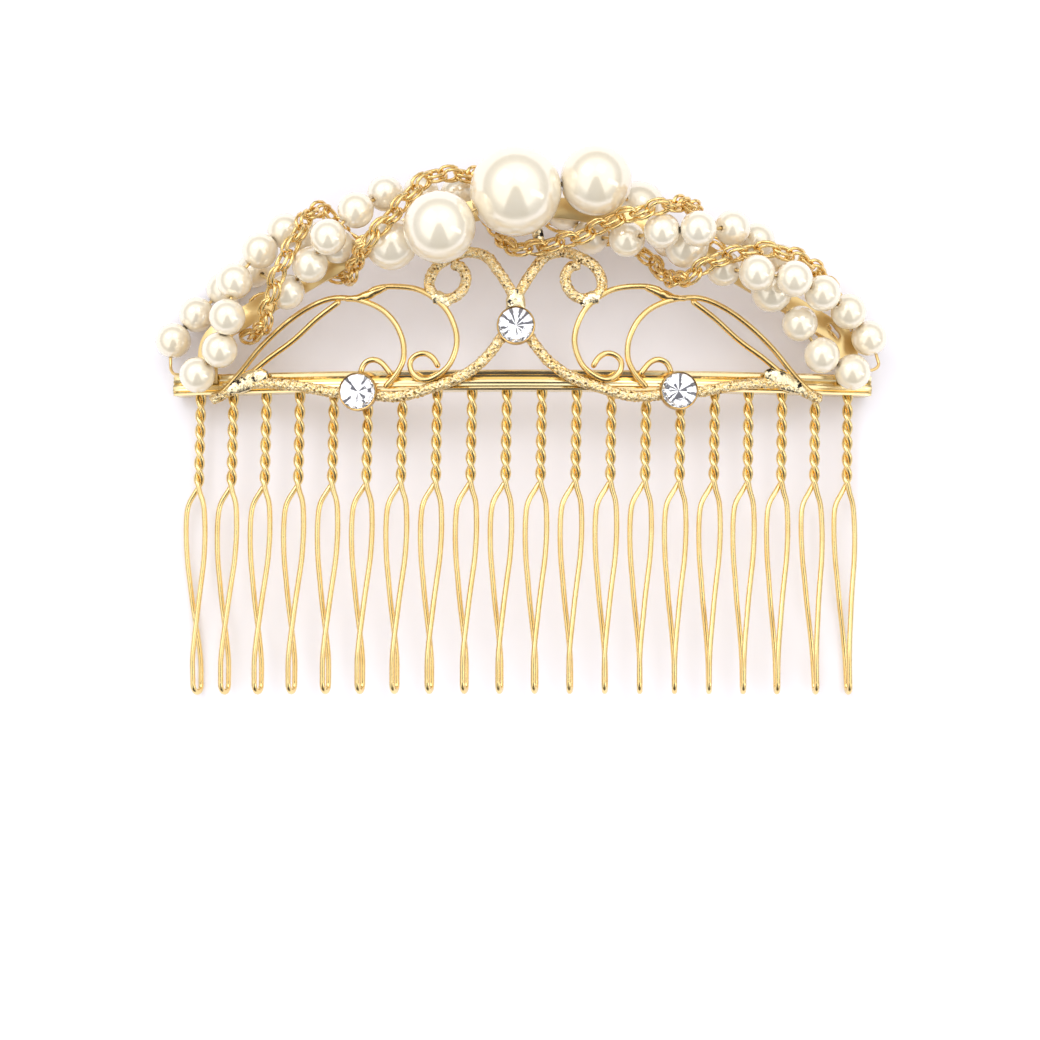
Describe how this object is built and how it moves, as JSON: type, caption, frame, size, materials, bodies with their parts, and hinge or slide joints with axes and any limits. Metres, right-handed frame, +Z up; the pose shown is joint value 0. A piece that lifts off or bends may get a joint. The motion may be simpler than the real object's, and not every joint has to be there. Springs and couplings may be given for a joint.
{
  "type": "chain hair comb",
  "caption": "Gilt hair comb with twisted wire teeth, an arch over a filigree with clear stones, and a braid of pearl strings and chains along the arch.",
  "frame": {"origin": "middle of the bounding box, on the plane that the comb lies on", "axes": "+X along the bar to the right, +Y from the tips of the teeth to the crown of the arch, +Z up, out of the front of the comb"},
  "size_m": [0.0814, 0.0596, 0.0194],
  "materials": {
    "gilt_wire": "warm gold plate on drawn wire, bright",
    "gilt_sheet": "warm gold plate on folded sheet, polished with fine wear",
    "gilt_casting": "warm gold plate on hammered strips and wires, darker in the recesses",
    "gilt_chain": "warm gold plate, bright",
    "pearl": "cream imitation pearl with a soft lustre",
    "clear_stone": "clear, foil-backed, brilliant cut"
  },
  "bodies": {
    "root": {"tooth_01": "gilt_wire", "tooth_02": "gilt_wire", "tooth_03": "gilt_wire", "tooth_04": "gilt_wire", "tooth_05": "gilt_wire", "tooth_06": "gilt_wire", "tooth_07": "gilt_wire", "tooth_08": "gilt_wire", "tooth_09": "gilt_wire", "tooth_10": "gilt_wire", "tooth_11": "gilt_wire", "tooth_12": "gilt_wire", "tooth_13": "gilt_wire", "tooth_14": "gilt_wire", "tooth_15": "gilt_wire", "tooth_16": "gilt_wire", "tooth_17": "gilt_wire", "tooth_18": "gilt_wire", "tooth_19": "gilt_wire", "tooth_20": "gilt_wire", "comb_bar": "gilt_sheet", "arch_band": "gilt_sheet", "filigree": "gilt_casting", "string_wire": "gilt_wire", "chain_outer": "gilt_chain", "chain_inner": "gilt_chain", "large_pearl_left": "pearl", "large_pearl_centre": "pearl", "large_pearl_right": "pearl", "pearl_string_outer": "pearl", "pearl_string_inner": "pearl", "stone_centre": "clear_stone", "stone_left": "clear_stone", "stone_right": "clear_stone"}
  },
  "joints": []
}
